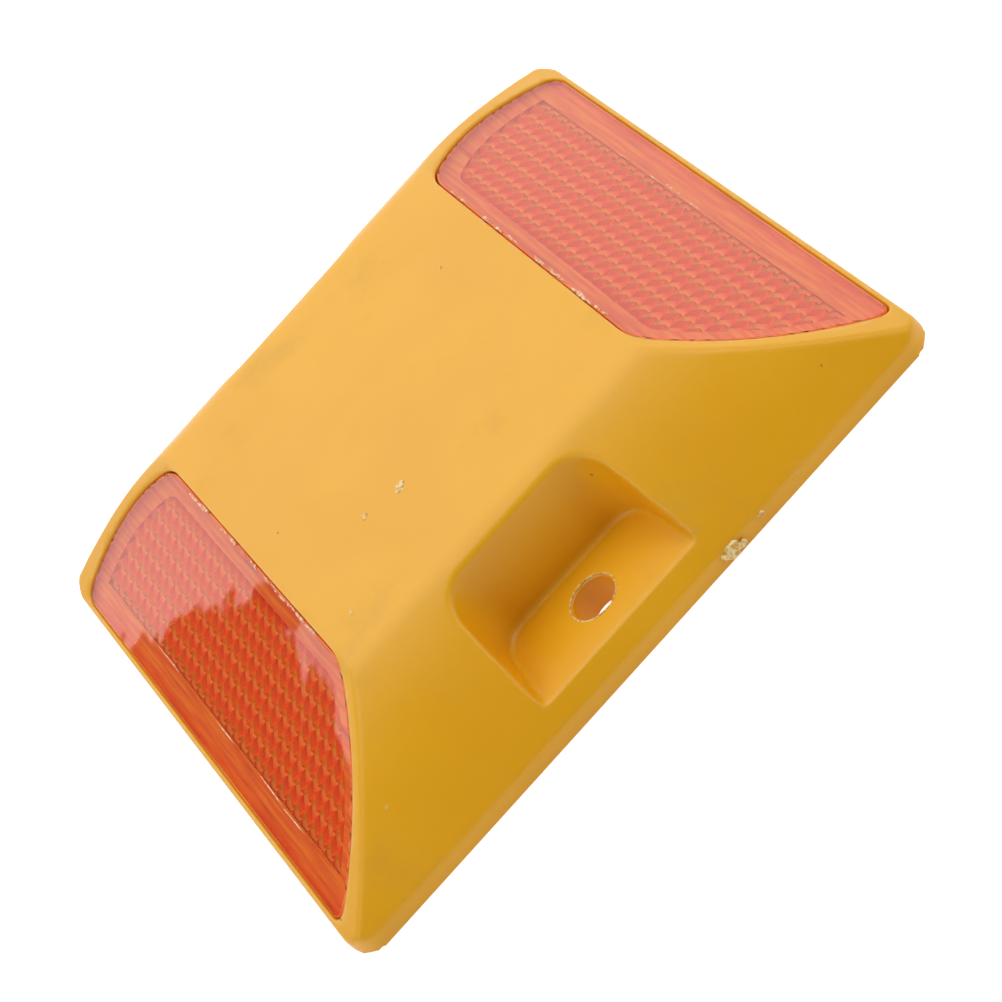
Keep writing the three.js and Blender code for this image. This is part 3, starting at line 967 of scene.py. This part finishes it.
# the rear of the corner cubes is opaque and painted with the light the cubes send back: a painted reflection,
# bright near each apex and fading to painted shade towards the rim
def makePaintedPrismLight():
    material, tree, shader, place = newMaterial("amberPrismRearPaintedLight", **{"Roughness": 0.35, "IOR": 1.6})
    shade = addNode(tree, "ShaderNodeVertexColor", layer_name="cubeShade")
    parts = addNode(tree, "ShaderNodeSeparateColor", {0: shade.outputs["Color"]})
    uneven = noiseNode(tree, place, 420.0, 3.0)
    height = mathNode(tree, "SUBTRACT", parts.outputs[0], 0.12)
    height = mathNode(tree, "MULTIPLY_ADD", uneven[0], 0.24, height)
    # painted light and shade by height above the apex: bright, then middle, then deep
    colour = mixNode(tree, rangeNode(tree, height, 0.40, 0.64), lensColourAndPaintedLight["bright"], lensColourAndPaintedLight["middle"])
    colour = mixNode(tree, rangeNode(tree, height, 0.58, 0.86), colour, lensColourAndPaintedLight["deep"])
    # a painted dark dot of shade at each apex
    colour = mixNode(tree, rangeNode(tree, height, 0.13, 0.05), colour, lensColourAndPaintedLight["apex"])
    # cube walls take the deep colour: painted shade
    colour = mixNode(tree, parts.outputs[2], colour, lensColourAndPaintedLight["deep"])
    across = addNode(tree, "ShaderNodeUVMap", uv_map="faceMap")
    drawn = addNode(tree, "ShaderNodeMapping", {"Vector": across.outputs[0], "Scale": (9, 130, 1)})
    streak = noiseNode(tree, drawn.outputs[0], 1.0, 3.0)
    weld = mixNode(tree, rangeNode(tree, streak[0], 0.40, 0.66), lensColourAndPaintedLight["weld"], lensColourAndPaintedLight["weldLight"])
    weld = mixNode(tree, rangeNode(tree, streak[0], 0.40, 0.25), weld, lensColourAndPaintedLight["weldDark"])
    colour = mixNode(tree, shade.outputs["Alpha"], weld, colour)
    tree.links.new(colour, shader.inputs["Base Color"])
    bumpNode(tree, shader, uneven[0], 0.3, 0.2 * mm)
    return material


def makeBackingPlastic():
    material, tree, shader, place = newMaterial("amberBackingPlastic", **{"Roughness": 0.5, "IOR": 1.5})
    grain = useGroup(tree, grainGroup, {"Vector": place, "Grain Size": 0.35, "Grain": 1.0, "Waves": 0.6})
    colour = mixNode(tree, rangeNode(tree, grain["Mottle"], 0.3, 0.7), (0.80, 0.37, 0.02, 1),
                     (0.90, 0.46, 0.03, 1))
    tree.links.new(colour, shader.inputs["Base Color"])
    bumpNode(tree, shader, grain["Height"], 0.4, 0.1 * mm)
    return material


def makePottingResin():
    material, tree, shader, place = newMaterial("sandPottingResin", **{"IOR": 1.52})
    sand = addNode(tree, "ShaderNodeTexVoronoi", {"Vector": place, "Scale": 1500.0})
    grains = addNode(tree, "ShaderNodeSeparateColor", {0: sand.outputs["Color"]})
    tones = addNode(tree, "ShaderNodeValToRGB", {0: grains.outputs[0]})
    tones.color_ramp.interpolation = "CONSTANT"
    stops = ((0.0, (0.30, 0.25, 0.18, 1)), (0.35, (0.42, 0.36, 0.26, 1)), (0.7, (0.52, 0.46, 0.36, 1)),
             (0.9, (0.14, 0.12, 0.10, 1)), (0.96, (0.70, 0.66, 0.58, 1)))
    while len(tones.color_ramp.elements) < len(stops):
        tones.color_ramp.elements.new(0.5)
    for element, (position, tone) in zip(tones.color_ramp.elements, stops):
        element.position, element.color = position, tone
    coarse = noiseNode(tree, place, 70.0, 6.0)
    colour = mixNode(tree, rangeNode(tree, coarse[0], 0.35, 0.7, 0.15, 0.75), tones.outputs[0],
                     (0.33, 0.28, 0.20, 1))
    tree.links.new(colour, shader.inputs["Base Color"])
    tree.links.new(rangeNode(tree, grains.outputs[1], 0.0, 1.0, 0.55, 0.95), shader.inputs["Roughness"])
    height = mathNode(tree, "MULTIPLY", sand.outputs["Distance"], -1.0)
    height = mathNode(tree, "MULTIPLY_ADD", coarse[0], 2.0, height)
    bumpNode(tree, shader, height, 0.7, 0.2 * mm)
    return material


crumbFinish = {  # gloss values, noise scale, where the noise turns, and the two colours it mixes
    # frosted flash; the same pale finish also colours the lumps that paint glints on the reflectors
    "frostedFlashAndGlint": ({"Roughness": 0.55, "IOR": 1.49}, 1500.0, (0.4, 0.62),
                     (0.90, 0.32, 0.12, 1), (0.95, 0.72, 0.52, 1)),
    "paleFleckPlastic": ({"Roughness": 0.5}, 1800.0, (0.35, 0.6), (0.72, 0.36, 0.04, 1), (0.95, 0.76, 0.36, 1)),
}


def makeCrumbPlastic(name):
    values, scale, turn, first, second = crumbFinish[name]
    material, tree, shader, place = newMaterial(name, **values)
    chalk = noiseNode(tree, place, scale)
    colour = mixNode(tree, rangeNode(tree, chalk[0], *turn), first, second)
    tree.links.new(colour, shader.inputs["Base Color"])
    return material


shellPlastic, acrylic, paintedPrismLight = makeShellPlastic(), makeAcrylic(), makePaintedPrismLight()
flashAndGlintAcrylic, fleckPlastic = makeCrumbPlastic("frostedFlashAndGlint"), makeCrumbPlastic("paleFleckPlastic")
backingPlastic, pottingResin = makeBackingPlastic(), makePottingResin()
print("finishes made")


def dress(piece, materials, slot, *nodes):
    marks = [polygon.material_index for polygon in piece.data.polygons]
    piece.data.materials.clear()
    for material in materials:
        piece.data.materials.append(material)
    piece.data.polygons.foreach_set("material_index", [min(mark, len(materials) - 1) for mark in marks])
    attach(piece, "root")
    if nodes:
        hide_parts(*nodes)


dress(shell, [shellPlastic], "shell_plastic", "housing_shell")
dress(pottingFill, [pottingResin], "potting_resin", "potting_fill")
dress(lensRight, [acrylic, paintedPrismLight], "lens_acrylic", "lens_right")
dress(lensLeft, [acrylic, paintedPrismLight], "lens_acrylic", "lens_left")
dress(backingRight, [backingPlastic], "backing_plastic", "lens_backing_right")
dress(backingLeft, [backingPlastic], "backing_plastic", "lens_backing_left")
dress(gateStub, [fleckPlastic], "shell_plastic")
dress(surfaceFlecks, [fleckPlastic], "shell_plastic")
dress(holeBurrs, [fleckPlastic], "shell_plastic")
dress(weldFlashAndGlintsRight, [flashAndGlintAcrylic], "lens_acrylic")
dress(weldFlashAndGlintsLeft, [flashAndGlintAcrylic], "lens_acrylic")


# studio: pale floor, soft panels and the camera

studio = {
    "floorSize": 6.0,
    "floorGlow": 0.6,
    "floorBounce": 0.25,
    "floorColour": (0.86, 0.86, 0.86, 1),
    "floorPale": (0.88, 0.88, 0.88, 1),
    "skyLight": 0.13,
    "target": (0.00061, -0.00833, 0),
    "distance": 0.4290,
    "azimuth": math.radians(1.40),
    "elevation": math.radians(36.99),
    "turn": math.radians(-48.79),
    "lens": 118.68,
}
panels = {  # centre, width, height, point it faces, radiance
    "backPanel": ((0.15, 0.82, 0.66), 1.46, 1.16, (0.15, 0, 0.66), 1.25),
    "cornerPanel": ((-0.70, 0.76, 0.295), 0.22, 0.19, (-0.038, 0, 0.01), 1.25),
    "topPanel": ((0.1, 0.33, 1.25), 1.6, 1.0, (0.1, 0.33, 0), 1.85),
    "leftPanel": ((-1.1, -0.35, 0.75), 1.1, 1.1, (0, 0, 0.02), 1.4),
    "rightPanel": ((1.1, -0.35, 0.75), 1.1, 1.1, (0, 0, 0.02), 1.4),
}


def makeStudio():
    floor = addPrimitive("plane", "studioFloor", size=studio["floorSize"])
    material, tree, shader, place = newMaterial("paleFloor", **{"Roughness": 0.9})
    tone = mixNode(tree, noiseNode(tree, place, 3.0)[0], studio["floorColour"], studio["floorPale"])
    tree.links.new(tone, shader.inputs["Base Color"])
    shader.inputs["Emission Color"].default_value = (1, 1, 1, 1)
    seen = addNode(tree, "ShaderNodeLightPath").outputs["Is Camera Ray"]
    glow = mathNode(tree, "MULTIPLY_ADD", seen, studio["floorGlow"], studio["floorBounce"])
    tree.links.new(glow, shader.inputs["Emission Strength"])
    floor.data.materials.append(material)

    for name, (centre, width, height, facing, radiance) in panels.items():
        bpy.ops.object.light_add(type="AREA", location=centre)
        light = bpy.context.object
        light.name = name
        aim = Vector(facing) - Vector(centre)
        light.rotation_euler = aim.to_track_quat("-Z", "Y").to_euler()
        light.data.shape = "RECTANGLE"
        light.data.size, light.data.size_y = width, height
        light.data.energy = radiance * math.pi * width * height

    world = bpy.data.worlds.new("studioWorld")
    bpy.context.scene.world = world
    world.use_nodes = True
    tree = world.node_tree
    tree.nodes["Background"].inputs[0].default_value = (1, 1, 1, 1)
    tree.nodes["Background"].inputs[1].default_value = studio["skyLight"]
    seen = addNode(tree, "ShaderNodeBackground", {"Color": (1, 1, 1, 1), "Strength": 1.0})
    path = addNode(tree, "ShaderNodeLightPath")
    mix = addNode(tree, "ShaderNodeMixShader", {0: path.outputs["Is Camera Ray"],
                                               1: tree.nodes["Background"].outputs[0], 2: seen.outputs[0]})
    tree.links.new(mix.outputs[0], tree.nodes["World Output"].inputs["Surface"])

    view = Vector((math.sin(studio["azimuth"]) * math.cos(studio["elevation"]),
                   -math.cos(studio["azimuth"]) * math.cos(studio["elevation"]),
                   math.sin(studio["elevation"])))
    bpy.ops.object.camera_add(location=Vector(studio["target"]) + view * studio["distance"])
    camera = bpy.context.object
    camera.name = "studioCamera"
    lean = math.pi / 2 - studio["elevation"]
    turned = Matrix.Rotation(studio["azimuth"], 3, "Z") @ Matrix.Rotation(lean, 3, "X") \
        @ Matrix.Rotation(studio["turn"], 3, "Z")
    camera.rotation_euler = turned.to_euler()
    camera.data.lens = studio["lens"]
    camera.data.sensor_width = 36
    camera.data.clip_start = 0.01
    bpy.context.scene.camera = camera
    bpy.context.scene.view_settings.view_transform = "Standard"


makeStudio()
print("studio ready")
